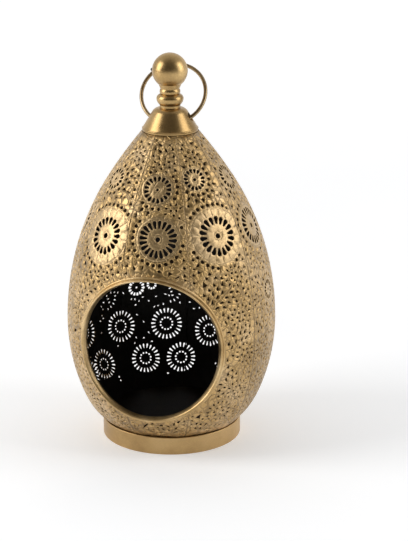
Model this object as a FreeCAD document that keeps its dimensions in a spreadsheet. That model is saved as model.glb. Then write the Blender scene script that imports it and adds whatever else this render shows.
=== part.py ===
"""Pierced egg-shaped candle lantern with a round front opening, a turned finial and a swinging ring.

Millimetres, +Z up.  The origin is the centre of the foot on the floor, and the opening faces -Y.
"""
import FreeCAD, Part
import os
import Sketcher

Vector = FreeCAD.Vector
Rotation = FreeCAD.Rotation
Placement = FreeCAD.Placement

DIMENSIONS = (
    # the egg: four arcs joined tangent to each other, spun about the upright axis
    ("belly_radius", 110, "largest outside radius"),
    ("belly_height", 126, "height of the largest radius"),
    ("upper_arc_radius", 285, "side arc above the belly"),
    ("crown_arc_radius", 500, "straighter arc that runs up to the collar"),
    ("crown_arc_bottom", 283, "height where the crown arc starts"),
    ("lower_arc_radius", 195, "side arc below the belly"),
    ("foot_arc_radius", 80, "tighter arc that runs in to the foot"),
    ("foot_arc_top", 48, "height where the foot arc starts"),
    ("shell_top", 328, "height of the sheet's upper edge"),
    ("sheet_thickness", 1.2, "sheet metal of the gores"),
    ("gore_count", 9, "petals welded edge to edge"),
    ("gore_turn", 4, "degrees from the opening's centre to a petal's centre"),
    # the front opening: a compass circle drawn on the sheet
    ("opening_height", 121, "height of the compass point"),
    ("opening_radius", 75, "clear radius inside the rim"),
    ("rim_band", 1.8, "thickness of the rim's standing band"),
    ("rim_proud", 3.8, "band height in front of the sheet"),
    ("rim_lap", 1.5, "band depth behind the sheet"),
    ("rim_flange", 3.2, "width of the flange on the sheet's face"),
    ("flange_thickness", 1.1, "height of that flange"),
    ("weld_gap", 0.15, "gap between the rim and the sheet"),
    # pierced rosettes, one of each on every petal
    ("pierce_depth", 14, "length of the piercing tool, centred on the sheet"),
    ("crown_height", 284, "centre of the crown rosette"),
    ("crown_inner", 8.5, "start of its slots"),
    ("crown_outer", 14.5, "end of its slots"),
    ("crown_slots", 8, "number of slots"),
    ("shoulder_height", 236, "centre of the shoulder rosette"),
    ("shoulder_inner", 11.5, "start of its slots"),
    ("shoulder_outer", 20, "end of its slots"),
    ("shoulder_slots", 12, "number of slots"),
    ("belly_rosette_height", 84, "centre of the belly rosette"),
    ("belly_inner", 12.5, "start of its slots"),
    ("belly_outer", 18, "end of its slots"),
    ("belly_slots", 12, "number of slots"),
    ("slot_fill", 0.62, "slot width as a share of the spacing at its outer end"),
    ("slot_taper", 0.55, "slot width at the inner end as a share of the outer"),
    ("eye_radius", 2.6, "round hole at a rosette's centre"),
    # the foot
    ("foot_radius", 73.4, "outside of the foot ring"),
    ("foot_height", 18.5, "top edge of the foot ring"),
    ("foot_wall", 1.6, "thickness of the ring's band"),
    ("foot_edge", 0.7, "rounding of the ring's top edge"),
    ("seat_depth", 2, "top edge of the ring above the seat"),
    ("seat_thickness", 1.6, "flange that carries the sheet"),
    ("seat_radius", 58, "inner edge of that flange"),
    # the candle plate
    ("plate_height", 22.5, "upper face of the plate"),
    ("plate_thickness", 1.2, "plate sheet"),
    ("plate_clearance", 0.4, "gap between the plate's skirt and the sheet"),
    # the collar and the bell cap
    ("collar_thickness", 1.4, "washer-like collar on the sheet's upper edge"),
    ("collar_bore", 21, "opening through the collar"),
    ("spigot_radius", 25.6, "outside of the upstand that centres the cap"),
    ("spigot_height", 3, "upstand above the collar"),
    ("cap_wall", 1.3, "spun sheet of the cap"),
    ("cap_rim_radius", 28.1, "cap radius above its rolled rim"),
    ("cap_roll", 0.9, "radius of the rolled rim"),
    ("dome_radius", 9, "rounding of the cap's shoulder"),
    ("dome_centre_height", 342.6, "centre of that rounding"),
    ("flange_radius", 10.6, "small flange on top of the cap"),
    ("flange_top", 354, "upper face of that flange"),
    ("ring_hole_radius", 4.3, "side holes for the ring"),
    # the turned neck and ball
    ("bead_radius", 13.9, "widest part of the bead"),
    ("bead_height", 361, "height of the widest part"),
    ("bead_foot_radius", 10.2, "bead where it meets the cap"),
    ("bead_top", 365.4, "upper face of the bead"),
    ("neck_radius", 9.8, "waist under the ball"),
    ("neck_top", 371.4, "where the ball starts"),
    ("ball_radius", 18.2, "ball"),
    ("ball_height", 389.3, "centre of the ball"),
    ("ball_taper_height", 375.4, "where the ball's lower taper meets it"),
    ("stud_radius", 3, "threaded stud through the neck"),
    ("stud_clearance", 0.1, "gap around the stud"),
    ("stud_bottom", 344.6, "lower end of the stud"),
    ("stud_grip", 10, "length of stud inside the ball"),
    ("washer_radius", 6.5, "washer under the cap's top"),
    ("washer_thickness", 1, "washer"),
    ("nut_width", 9, "hexagon nut across its corners"),
    ("nut_height", 3.2, "hexagon nut"),
    # the ring
    ("ring_radius", 33.5, "centre line of the ring"),
    ("ring_wire", 2, "radius of the ring's wire"),
    ("ring_pivot_height", 342.3, "line through the two side holes"),
    ("ring_half_chord", 22, "from the axis to where the ring passes the cap"),
    ("ring_lean", 36, "degrees that the ring leans back at rest"),
    ("pin_angle", 45, "degrees from the ring's top to its closing pin"),
    ("pin_radius", 1.3, "closing pin"),
    ("pin_head_radius", 1.7, "rounded head of the pin"),
    ("pin_proud", 3.2, "pin in front of the wire"),
    ("pin_clearance", 0.05, "gap around the pin in the wire"),
)

doc = FreeCAD.newDocument("lantern")
sheet = doc.addObject("Spreadsheet::Sheet", "sizes")


def fill_sheet():
    """Write each driving dimension in a row of its own, with its alias and what it means."""
    for row, (alias, value, meaning) in enumerate(DIMENSIONS, start=1):
        sheet.set(f"A{row}", alias)
        sheet.set(f"B{row}", str(value))
        sheet.setAlias(f"B{row}", alias)
        sheet.set(f"C{row}", meaning)
    doc.recompute()


fill_sheet()
ALIASES = sorted((alias for alias, value, meaning in DIMENSIONS), key=len, reverse=True)


def from_sheet(formula):
    """Point every alias in a formula at the sheet, for use in another object's expression."""
    words = []
    word = ""
    for letter in formula + " ":
        if letter.isalnum() or letter == "_":
            word += letter
            continue
        words.append("sizes." + word if word in ALIASES else word)
        words.append(letter)
        word = ""
    return "".join(words).strip()


def number(formula):
    """The value of a formula with the sheet's present sizes."""
    return float(sheet.evalExpression(formula))


def bind(target, path, formula):
    target.setExpression(path, from_sheet(formula))


# --- outlines -----------------------------------------------------------------------------------

def line_to(x, z):
    return (x, z, None)


def arc_to(x, z, radius, turn):
    """An arc of under a half circle; turn is 1 when it runs anticlockwise and -1 when clockwise."""
    return (x, z, (radius, turn))


def arc_between(start, end, radius, turn):
    """The arc of a circle from start to end as sketch geometry, and whether it was reversed."""
    middle = (start + end) * 0.5
    across = end - start
    reach = (radius ** 2 - (across.Length / 2) ** 2) ** 0.5
    side = Vector(-across.y, across.x, 0).normalize() * (reach * turn)
    centre = middle + side
    first, last = (start, end) if turn > 0 else (end, start)
    axis = Vector(1, 0, 0)
    angles = [axis.getAngle(point - centre) for point in (first, last)]
    angles = [a if (p - centre).y >= 0 else -a for a, p in zip(angles, (first, last))]
    circle = Part.Circle(centre, Vector(0, 0, 1), radius)
    return Part.ArcOfCircle(circle, angles[0], angles[1])


def pin_point(sketch, edge, end, x, z):
    """Hold one end of an edge at (x, z), both formulas of the sheet."""
    if x == "0":
        sketch.addConstraint(Sketcher.Constraint("PointOnObject", edge, end, -2))
    else:
        row = sketch.addConstraint(Sketcher.Constraint("DistanceX", -1, 1, edge, end, number(x)))
        bind(sketch, f"Constraints[{row}]", x)
    if z == "0":
        sketch.addConstraint(Sketcher.Constraint("PointOnObject", edge, end, -1))
    else:
        row = sketch.addConstraint(Sketcher.Constraint("DistanceY", -1, 1, edge, end, number(z)))
        bind(sketch, f"Constraints[{row}]", z)


def draw_outline(sketch, outline):
    """Draw a closed outline of lines and arcs; each step gives the point that it ends at."""
    points = [Vector(number(x), number(z), 0) for x, z, arc in outline]
    starts = [points[-1]] + points[:-1]
    ends_of = []
    for start, point, (x, z, arc) in zip(starts, points, outline):
        if arc is None:
            edge = sketch.addGeometry(Part.LineSegment(start, point), False)
            ends_of.append((edge, 1, 2))
            continue
        radius, turn = arc
        edge = sketch.addGeometry(arc_between(start, point, number(radius), turn), False)
        ends_of.append((edge, 1, 2) if turn > 0 else (edge, 2, 1))
        row = sketch.addConstraint(Sketcher.Constraint("Radius", edge, number(radius)))
        bind(sketch, f"Constraints[{row}]", radius)
    for step, (edge, begin, finish) in enumerate(ends_of):
        after, after_begin, _ = ends_of[(step + 1) % len(ends_of)]
        sketch.addConstraint(Sketcher.Constraint("Coincident", edge, finish, after, after_begin))
        pin_point(sketch, edge, finish, outline[step][0], outline[step][1])


def origin_plane(body, role):
    return next(item for item in body.Origin.OriginFeatures if item.Role == role)


def new_body(label):
    body = doc.addObject("PartDesign::Body", label)
    body.Label = label
    return body


def new_sketch(body, name, role):
    sketch = body.newObject("Sketcher::SketchObject", name)
    sketch.AttachmentSupport = [(origin_plane(body, role), "")]
    sketch.MapMode = "FlatFace"
    return sketch


def spin(body, sketch, name, angle="360"):
    """Revolve a sketch about the upright axis, half the angle to each side of +X."""
    turned = body.newObject("PartDesign::Revolution", name)
    turned.Profile = sketch
    turned.ReferenceAxis = (sketch, ["V_Axis"])
    turned.Midplane = True
    bind(turned, "Angle", angle)
    sketch.Visibility = False
    return turned


def turned_body(label, outline, angle="360"):
    """A piece turned from one outline in the XZ plane."""
    body = new_body(label)
    sketch = new_sketch(body, label + "_outline", "XZ_Plane")
    draw_outline(sketch, outline)
    spin(body, sketch, label + "_turned", angle)
    return body


# --- the egg's side line ------------------------------------------------------------------------

def upper_side(height, offset="0"):
    """Radius of the egg, or of its offset surface, at a height above the belly."""
    return (f"belly_radius - upper_arc_radius + sqrt((upper_arc_radius + {offset})^2"
            f" - ({height} - belly_height)^2)")


def lower_side(height, offset="0"):
    """The same below the belly and above the foot arc."""
    return (f"belly_radius - lower_arc_radius + sqrt((lower_arc_radius + {offset})^2"
            f" - ({height} - belly_height)^2)")


JOINT_SINE = "((foot_arc_top - belly_height) / lower_arc_radius)"
JOINT_COSINE = f"sqrt(1 - {JOINT_SINE}^2)"
FOOT_ARC_X = ("(belly_radius - lower_arc_radius"
              f" + (lower_arc_radius - foot_arc_radius) * {JOINT_COSINE})")
FOOT_ARC_Z = f"(belly_height + (lower_arc_radius - foot_arc_radius) * {JOINT_SINE})"


def foot_side(height, offset="0"):
    """The same on the foot arc."""
    return (f"{FOOT_ARC_X} + sqrt((foot_arc_radius + {offset})^2"
            f" - ({height} - {FOOT_ARC_Z})^2)")


def joint_point(offset):
    """Where the foot arc meets the lower arc, on an offset of the egg."""
    x = f"{FOOT_ARC_X} + (foot_arc_radius + {offset}) * {JOINT_COSINE}"
    z = f"{FOOT_ARC_Z} + (foot_arc_radius + {offset}) * {JOINT_SINE}"
    return x, z


SEAT_TOP = "(foot_height - seat_depth)"


CROWN_SINE = "((crown_arc_bottom - belly_height) / upper_arc_radius)"
CROWN_COSINE = f"sqrt(1 - {CROWN_SINE}^2)"
CROWN_ARC_X = ("(belly_radius - upper_arc_radius"
               f" - (crown_arc_radius - upper_arc_radius) * {CROWN_COSINE})")
CROWN_ARC_Z = f"(belly_height - (crown_arc_radius - upper_arc_radius) * {CROWN_SINE})"


def crown_side(height, offset="0"):
    """The same on the crown arc."""
    return (f"{CROWN_ARC_X} + sqrt((crown_arc_radius + {offset})^2"
            f" - ({height} - {CROWN_ARC_Z})^2)")


def crown_point(offset):
    """Where the crown arc leaves the arc above the belly, on an offset of the egg."""
    x = f"{CROWN_ARC_X} + (crown_arc_radius + {offset}) * {CROWN_COSINE}"
    z = f"{CROWN_ARC_Z} + (crown_arc_radius + {offset}) * {CROWN_SINE}"
    return x, z


def wall_outline(outside, inside):
    """The egg's wall between two offsets of its side line, from the seat to the upper edge."""
    return (
        line_to(foot_side(SEAT_TOP, outside), SEAT_TOP),
        arc_to(*joint_point(outside), f"foot_arc_radius + {outside}", 1),
        arc_to(f"belly_radius + {outside}", "belly_height", f"lower_arc_radius + {outside}", 1),
        arc_to(*crown_point(outside), f"upper_arc_radius + {outside}", 1),
        arc_to(crown_side("shell_top", outside), "shell_top", f"crown_arc_radius + {outside}", 1),
        line_to(crown_side("shell_top", inside), "shell_top"),
        arc_to(*crown_point(inside), f"crown_arc_radius + {inside}", -1),
        arc_to(f"belly_radius + {inside}", "belly_height", f"upper_arc_radius + {inside}", -1),
        arc_to(*joint_point(inside), f"lower_arc_radius + {inside}", -1),
        arc_to(foot_side(SEAT_TOP, inside), SEAT_TOP, f"foot_arc_radius + {inside}", -1),
    )


def combine(kind, name, base, tool):
    result = doc.addObject("Part::" + kind, name)
    result.Label = name
    result.Base = base
    result.Tool = tool
    return result


# --- the pierced petals -------------------------------------------------------------------------

def lie_on_petal(sketch, height, side, arc_radius):
    """Lay a sketch flat against the petal's middle line at a height."""
    sketch.AttachmentOffset = Placement(Vector(0, 0, 0), Rotation(Vector(-1, 0, 0), 1))
    bind(sketch, "AttachmentOffset.Base.y", height)
    bind(sketch, "AttachmentOffset.Base.z", side(height))
    lean = f"asin(({height} - belly_height) / {arc_radius})"
    bind(sketch, "AttachmentOffset.Rotation.Angle", lean)


def pierce(body, sketch, name):
    """Push a sketch through the sheet."""
    pocket = body.newObject("PartDesign::Pocket", name)
    pocket.Profile = sketch
    pocket.Midplane = True
    bind(pocket, "Length", "pierce_depth")
    sketch.Visibility = False
    return pocket


def draw_slot(sketch, inner, outer, count):
    """One slot of a rosette, tapered towards the centre, on the sketch's upright axis."""
    half_outer = f"(slot_fill * {outer} * tan(180deg / {count}))"
    half_inner = f"({half_outer} * slot_taper)"
    corners = (
        (half_inner, inner, 1),
        (half_outer, outer, 1),
        (half_outer, outer, -1),
        (half_inner, inner, -1),
    )
    points = [Vector(side * number(x), number(z), 0) for x, z, side in corners]
    edges = []
    for point, after in zip(points, points[1:] + points[:1]):
        edges.append(sketch.addGeometry(Part.LineSegment(point, after), False))
    for edge, after in zip(edges, edges[1:] + edges[:1]):
        sketch.addConstraint(Sketcher.Constraint("Coincident", edge, 2, after, 1))
    pin_point(sketch, edges[0], 1, half_inner, inner)
    pin_point(sketch, edges[1], 1, half_outer, outer)
    sketch.addConstraint(Sketcher.Constraint("Symmetric", edges[1], 1, edges[2], 1, -2))
    sketch.addConstraint(Sketcher.Constraint("Symmetric", edges[0], 1, edges[3], 1, -2))


def add_rosette(body, name, height, side, arc_radius):
    """A ring of tapered slots around a round eye, pierced square to the sheet."""
    slot = new_sketch(body, name + "_slot", "YZ_Plane")
    lie_on_petal(slot, height, side, arc_radius)
    draw_slot(slot, name + "_inner", name + "_outer", name + "_slots")
    first = pierce(body, slot, name + "_first_slot")
    ring = body.newObject("PartDesign::PolarPattern", name + "_ring")
    ring.Originals = [first]
    ring.Axis = (slot, ["N_Axis"])
    ring.Angle = 360
    bind(ring, "Occurrences", name + "_slots")
    body.Tip = ring
    eye = new_sketch(body, name + "_eye", "YZ_Plane")
    lie_on_petal(eye, height, side, arc_radius)
    hole = Part.Circle(Vector(0, 0, 0), Vector(0, 0, 1), number("eye_radius"))
    edge = eye.addGeometry(hole, False)
    eye.addConstraint(Sketcher.Constraint("Coincident", edge, 3, -1, 1))
    row = eye.addConstraint(Sketcher.Constraint("Radius", edge, number("eye_radius")))
    bind(eye, f"Constraints[{row}]", "eye_radius")
    pierce(body, eye, name + "_eye_hole")


def make_petal():
    """The pattern petal, centred on +X, with its rosettes on its middle line."""
    body = turned_body("petal", wall_outline("0", "(-sheet_thickness)"), "360 / gore_count")
    add_rosette(body, "crown", "crown_height", upper_side, "upper_arc_radius")
    add_rosette(body, "shoulder", "shoulder_height", upper_side, "upper_arc_radius")
    add_rosette(body, "belly", "belly_rosette_height", lower_side, "lower_arc_radius")
    doc.recompute()
    return body


def opening_sphere(name, radius, direction="-90"):
    """A ball on the opening's compass point, seen from a frame turned about the upright axis."""
    ball = doc.addObject("Part::Sphere", name)
    bind(ball, "Radius", radius)
    bind(ball, "Placement.Base.x", f"({lower_side('opening_height')}) * cos(({direction}) * 1deg)")
    bind(ball, "Placement.Base.y", f"({lower_side('opening_height')}) * sin(({direction}) * 1deg)")
    bind(ball, "Placement.Base.z", "opening_height")
    return ball


def turn_to(piece, direction):
    """Turn a piece, drawn on +X, to a direction about the upright axis."""
    piece.Placement = Placement(Vector(0, 0, 0), Rotation(Vector(0, 0, 1), 1))
    bind(piece, "Placement.Rotation.Angle", direction)


def make_gores(petal):
    """Each petal is the pattern petal, cut by the opening and turned to its own place.

    The opening is wider than the first petal, which is left in two pieces, above and below it.
    """
    nodes = []
    clear = "opening_radius + rim_band + weld_gap"
    for place in range(int(number("gore_count"))):
        label = f"shell_gore_{place + 1}"
        direction = f"(-90 + gore_turn + {place} * 360 / gore_count)"
        cutter = opening_sphere(label + "_cutter", clear, f"-90 - {direction}")
        if place == 0:
            nodes += split_petal(combine("Cut", "front_petal", petal, cutter), direction)
            continue
        gore = combine("Cut", label, petal, cutter)
        turn_to(gore, direction)
        nodes.append(gore)
    return nodes


def split_petal(petal, direction):
    """The parts of a cut petal above and below the opening's centre, as two pieces."""
    halves = []
    zones = (
        ("front_gore_upper", "opening_height", "shell_top"),
        ("front_gore_lower", "0", "opening_height"),
    )
    for label, bottom, top in zones:
        box = doc.addObject("Part::Box", label + "_zone")
        bind(box, "Length", "2 * belly_radius")
        bind(box, "Width", "2 * belly_radius")
        bind(box, "Height", f"{top} - ({bottom})")
        bind(box, "Placement.Base.y", "-belly_radius")
        bind(box, "Placement.Base.z", bottom)
        half = combine("Common", label, petal, box)
        turn_to(half, direction)
        halves.append(half)
    return halves


# --- the opening's rim --------------------------------------------------------------------------

def make_rim():
    """A standing band that lines the opening, with a flange on the face of the sheet."""
    behind = "(-sheet_thickness - rim_lap)"
    standing = turned_body("rim_standing_wall", wall_outline("rim_proud", behind))
    face = "(weld_gap + flange_thickness)"
    lying = turned_body("rim_lying_wall", wall_outline(face, "weld_gap"))
    mouth = opening_sphere("rim_mouth", "opening_radius")
    band_ball = opening_sphere("rim_band_ball", "opening_radius + rim_band")
    flange_ball = opening_sphere("rim_flange_ball", "opening_radius + rim_band + rim_flange")
    band_zone = combine("Cut", "rim_band_zone", band_ball, mouth)
    flange_zone = combine("Cut", "rim_flange_zone", flange_ball, mouth)
    band = combine("Common", "rim_band_piece", standing, band_zone)
    flange = combine("Common", "rim_flange_piece", lying, flange_zone)
    return combine("Fuse", "opening_rim", band, flange)


# --- the foot, the plate, the collar ------------------------------------------------------------

def make_base_ring():
    """A plain band with an inward flange, on which the petals and the plate stand."""
    inner = "foot_radius - foot_wall"
    outline = (
        line_to("foot_radius", "0"),
        line_to("foot_radius", "foot_height - foot_edge"),
        arc_to("foot_radius - foot_edge", "foot_height", "foot_edge", 1),
        line_to(inner, "foot_height"),
        line_to(inner, SEAT_TOP),
        line_to("seat_radius", SEAT_TOP),
        line_to("seat_radius", f"{SEAT_TOP} - seat_thickness"),
        line_to(inner, f"{SEAT_TOP} - seat_thickness"),
        line_to(inner, "0"),
    )
    return turned_body("base_ring", outline)


def make_plate():
    """The black plate for the candle: a disc with a turned-down skirt that stands on the seat."""
    skirt = f"{foot_side(SEAT_TOP, '(-sheet_thickness)')} - plate_clearance"
    outline = (
        line_to("0", "plate_height"),
        line_to("0", "plate_height - plate_thickness"),
        line_to(f"{skirt} - plate_thickness", "plate_height - plate_thickness"),
        line_to(f"{skirt} - plate_thickness", SEAT_TOP),
        line_to(skirt, SEAT_TOP),
        line_to(skirt, "plate_height"),
    )
    return turned_body("candle_plate", outline)


COLLAR_TOP = "(shell_top + collar_thickness)"


def make_collar():
    """A flat collar that ties the petals' tips, with an upstand inside the cap."""
    outline = (
        line_to("cap_rim_radius + cap_roll / 2", "shell_top"),
        line_to("cap_rim_radius + cap_roll / 2", COLLAR_TOP),
        line_to("spigot_radius", COLLAR_TOP),
        line_to("spigot_radius", f"{COLLAR_TOP} + spigot_height"),
        line_to("spigot_radius - collar_thickness", f"{COLLAR_TOP} + spigot_height"),
        line_to("spigot_radius - collar_thickness", COLLAR_TOP),
        line_to("collar_bore", COLLAR_TOP),
        line_to("collar_bore", "shell_top"),
    )
    return turned_body("top_collar", outline)


# --- the bell cap -------------------------------------------------------------------------------

DOME_TOP = "(dome_centre_height + dome_radius)"
ROLL_HEIGHT = f"({COLLAR_TOP} + cap_roll)"
FLANK_RUN = "(cap_rim_radius - flange_radius)"
FLANK_RISE = f"(dome_centre_height - ({ROLL_HEIGHT} + cap_roll))"
FLANK_SPAN = f"sqrt({FLANK_RUN}^2 + {FLANK_RISE}^2)"
FLANK_ANGLE = f"(atan({FLANK_RUN} / {FLANK_RISE}) - asin(dome_radius / {FLANK_SPAN}))"


def make_cap():
    """A spun bell: rolled rim, straight flank, round shoulder and a small flange on top."""
    shoulder_x = f"flange_radius + dome_radius * cos({FLANK_ANGLE})"
    shoulder_z = f"dome_centre_height + dome_radius * sin({FLANK_ANGLE})"
    inner_dome = "(dome_radius - cap_wall)"
    inner_shoulder_x = f"flange_radius + {inner_dome} * cos({FLANK_ANGLE})"
    inner_shoulder_z = f"dome_centre_height + {inner_dome} * sin({FLANK_ANGLE})"
    inner_rim_x = f"cap_rim_radius - cap_wall / cos({FLANK_ANGLE})"
    bore = "stud_radius + stud_clearance"
    outline = (
        line_to("cap_rim_radius", COLLAR_TOP),
        arc_to("cap_rim_radius", f"{ROLL_HEIGHT} + cap_roll", "cap_roll * 1.0001", 1),
        line_to(shoulder_x, shoulder_z),
        arc_to("flange_radius", DOME_TOP, "dome_radius", 1),
        line_to("flange_radius", "flange_top"),
        line_to(bore, "flange_top"),
        line_to(bore, f"{DOME_TOP} - cap_wall"),
        line_to("flange_radius", f"{DOME_TOP} - cap_wall"),
        arc_to(inner_shoulder_x, inner_shoulder_z, inner_dome, -1),
        line_to(inner_rim_x, f"{ROLL_HEIGHT} + cap_roll"),
        line_to(inner_rim_x, COLLAR_TOP),
    )
    body = turned_body("bell_cap", outline)
    holes = new_sketch(body, "ring_holes", "YZ_Plane")
    hole = Part.Circle(Vector(0, 0, 0), Vector(0, 0, 1), number("ring_hole_radius"))
    edge = holes.addGeometry(hole, False)
    holes.addConstraint(Sketcher.Constraint("PointOnObject", edge, 3, -2))
    fixings = (
        ("Radius", (edge,), "ring_hole_radius"),
        ("DistanceY", (-1, 1, edge, 3), "ring_pivot_height"),
    )
    for kind, where, formula in fixings:
        row = holes.addConstraint(Sketcher.Constraint(kind, *where, number(formula)))
        bind(holes, f"Constraints[{row}]", formula)
    through = body.newObject("PartDesign::Pocket", "ring_holes_cut")
    through.Profile = holes
    through.Midplane = True
    bind(through, "Length", "4 * cap_rim_radius")
    return body


# --- the neck and the ball ----------------------------------------------------------------------

def make_bead():
    """A turned bead: a bowl that opens from the cap and a round edge that closes to the waist."""
    bore = "stud_radius + stud_clearance"
    outline = (
        line_to("bead_foot_radius", "flange_top"),
        arc_to("bead_radius", "bead_height", "bead_radius * 0.62", 1),
        arc_to("neck_radius", "bead_top", "bead_radius * 0.34", 1),
        line_to(bore, "bead_top"),
        line_to(bore, "flange_top"),
    )
    return turned_body("neck_bead", outline)


def make_ball():
    """The ball with its taper and waist, drilled from below for the stud."""
    drill = "stud_radius + stud_clearance"
    drill_top = "(neck_top + stud_grip + 2)"
    taper_x = "sqrt(ball_radius^2 - (ball_height - ball_taper_height)^2)"
    outline = (
        line_to("0", drill_top),
        line_to(drill, drill_top),
        line_to(drill, "bead_top"),
        line_to("neck_radius", "bead_top"),
        arc_to("neck_radius", "neck_top - 0.6", "neck_radius * 0.5", 1),
        line_to("neck_radius + 0.2", "neck_top"),
        line_to(taper_x, "ball_taper_height"),
        arc_to("ball_radius", "ball_height", "ball_radius", 1),
        arc_to("0", "ball_height + ball_radius", "ball_radius", 1),
    )
    return turned_body("ball_finial", outline)


def make_stud():
    """A plain stud from under the nut into the ball."""
    outline = (
        line_to("0", "stud_bottom"),
        line_to("stud_radius - 0.5", "stud_bottom"),
        line_to("stud_radius", "stud_bottom + 0.5"),
        line_to("stud_radius", "neck_top + stud_grip - 0.5"),
        line_to("stud_radius - 0.5", "neck_top + stud_grip"),
        line_to("0", "neck_top + stud_grip"),
    )
    return turned_body("finial_stud", outline)


WASHER_TOP = f"({DOME_TOP} - cap_wall)"


def make_washer():
    bore = "stud_radius + stud_clearance"
    outline = (
        line_to("washer_radius", f"{WASHER_TOP} - washer_thickness"),
        line_to("washer_radius", WASHER_TOP),
        line_to(bore, WASHER_TOP),
        line_to(bore, f"{WASHER_TOP} - washer_thickness"),
    )
    return turned_body("stud_washer", outline)


def make_nut():
    """A hexagon nut, run up against the washer."""
    bottom = f"{WASHER_TOP} - washer_thickness - nut_height"
    hexagon = doc.addObject("Part::Prism", "nut_hexagon")
    hexagon.Polygon = 6
    bind(hexagon, "Circumradius", "nut_width / 2")
    bind(hexagon, "Height", "nut_height")
    bore = doc.addObject("Part::Cylinder", "nut_bore")
    bind(bore, "Radius", "stud_radius + stud_clearance")
    bind(bore, "Height", "nut_height")
    nut = combine("Cut", "stud_nut", hexagon, bore)
    bind(nut, "Placement.Base.z", bottom)
    return nut


# --- the ring -----------------------------------------------------------------------------------

RING_CENTRE = "sqrt(ring_radius^2 - ring_half_chord^2)"


def lean_back(piece):
    """Hang a piece, drawn upright above the pivot line, from the side holes and lean it back."""
    piece.Placement = Placement(Vector(0, 0, 0), Rotation(Vector(-1, 0, 0), 1))
    bind(piece, "Placement.Base.z", "ring_pivot_height")
    bind(piece, "Placement.Rotation.Angle", "ring_lean")


def pin_rod(name, radius, start, length):
    """A rod on the ring's radius through the closing pin; start is measured from the ring's centre."""
    rod = doc.addObject("Part::Cylinder", name)
    bind(rod, "Radius", radius)
    bind(rod, "Height", length)
    rod.Placement = Placement(Vector(0, 0, 0), Rotation(Vector(0, -1, 0), 1))
    bind(rod, "Placement.Base.x", f"-({start}) * sin(pin_angle * 1deg)")
    bind(rod, "Placement.Base.z", f"{RING_CENTRE} + ({start}) * cos(pin_angle * 1deg)")
    bind(rod, "Placement.Rotation.Angle", "pin_angle")
    return rod


def make_ring():
    """Bent wire, drilled on its radius for the pin that closes it."""
    hoop = doc.addObject("Part::Torus", "ring_hoop")
    bind(hoop, "Radius1", "ring_radius")
    bind(hoop, "Radius2", "ring_wire")
    hoop.Placement = Placement(Vector(0, 0, 0), Rotation(Vector(1, 0, 0), 90))
    bind(hoop, "Placement.Base.z", RING_CENTRE)
    bore = "pin_radius + pin_clearance"
    drill = pin_rod("ring_drill", bore, "ring_radius - 2 * ring_wire", "4 * ring_wire")
    ring = combine("Cut", "ring_handle", hoop, drill)
    lean_back(ring)
    return ring


def make_pin():
    """The closing pin with its rounded head, which stands out of the wire."""
    start = "(ring_radius - ring_wire)"
    length = "(2 * ring_wire + pin_proud - pin_head_radius)"
    shank = pin_rod("pin_shank", "pin_radius", start, length)
    head = doc.addObject("Part::Sphere", "pin_head")
    bind(head, "Radius", "pin_head_radius")
    bind(head, "Placement.Base.x", f"-({start} + {length}) * sin(pin_angle * 1deg)")
    bind(head, "Placement.Base.z", f"{RING_CENTRE} + ({start} + {length}) * cos(pin_angle * 1deg)")
    pin = combine("Fuse", "ring_pin", shank, head)
    lean_back(pin)
    return pin


# --- checks and files ---------------------------------------------------------------------------

def check_and_write(nodes):
    """Stop on any failed object or bad solid, and only then write one file for each piece."""
    doc.recompute()
    failed = [item.Label for item in doc.Objects if {"Invalid", "Error"} & set(item.State)]
    if failed:
        raise RuntimeError("failed objects: " + ", ".join(failed))
    for node in nodes:
        if node.Shape.isNull() or not node.Shape.isValid() or len(node.Shape.Solids) != 1:
            raise RuntimeError(f"{node.Label} isn't one valid solid")
    os.makedirs("parts", exist_ok=True)
    for node in nodes:
        node.Shape.exportStep(f"parts/{node.Label}.step")
        print(f"{node.Label}: {node.Shape.Volume:.1f} mm3")


pieces = make_gores(make_petal())
pieces += [make_rim(), make_base_ring(), make_plate(), make_collar(), make_cap(), make_bead()]
pieces += [make_ball(), make_stud(), make_washer(), make_nut(), make_ring(), make_pin()]
check_and_write(pieces)
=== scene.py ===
"""Looks of the pierced candle lantern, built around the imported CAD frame.

Lengths are metres in Blender; the pattern of the sheet is worked out in millimetres.
"""

import math
import random

import bmesh
import bpy
import numpy as np
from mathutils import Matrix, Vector
from mathutils.geometry import delaunay_2d_cdt


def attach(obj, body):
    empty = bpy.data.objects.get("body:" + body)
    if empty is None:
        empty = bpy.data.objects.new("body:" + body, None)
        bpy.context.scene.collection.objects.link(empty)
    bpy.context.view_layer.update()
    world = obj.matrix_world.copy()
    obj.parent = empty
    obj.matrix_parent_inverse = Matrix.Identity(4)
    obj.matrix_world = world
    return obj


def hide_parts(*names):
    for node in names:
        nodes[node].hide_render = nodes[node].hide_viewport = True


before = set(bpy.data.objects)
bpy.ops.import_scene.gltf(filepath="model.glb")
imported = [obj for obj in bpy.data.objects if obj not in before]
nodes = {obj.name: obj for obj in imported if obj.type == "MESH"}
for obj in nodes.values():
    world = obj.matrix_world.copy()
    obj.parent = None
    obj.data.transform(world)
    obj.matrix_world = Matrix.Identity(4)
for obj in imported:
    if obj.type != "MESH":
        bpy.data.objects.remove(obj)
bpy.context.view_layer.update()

MM = 0.001
VIEW_TURN = 12.35          # degrees from the opening's centre to the camera

# --- the egg ------------------------------------------------------------------------------------

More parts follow.
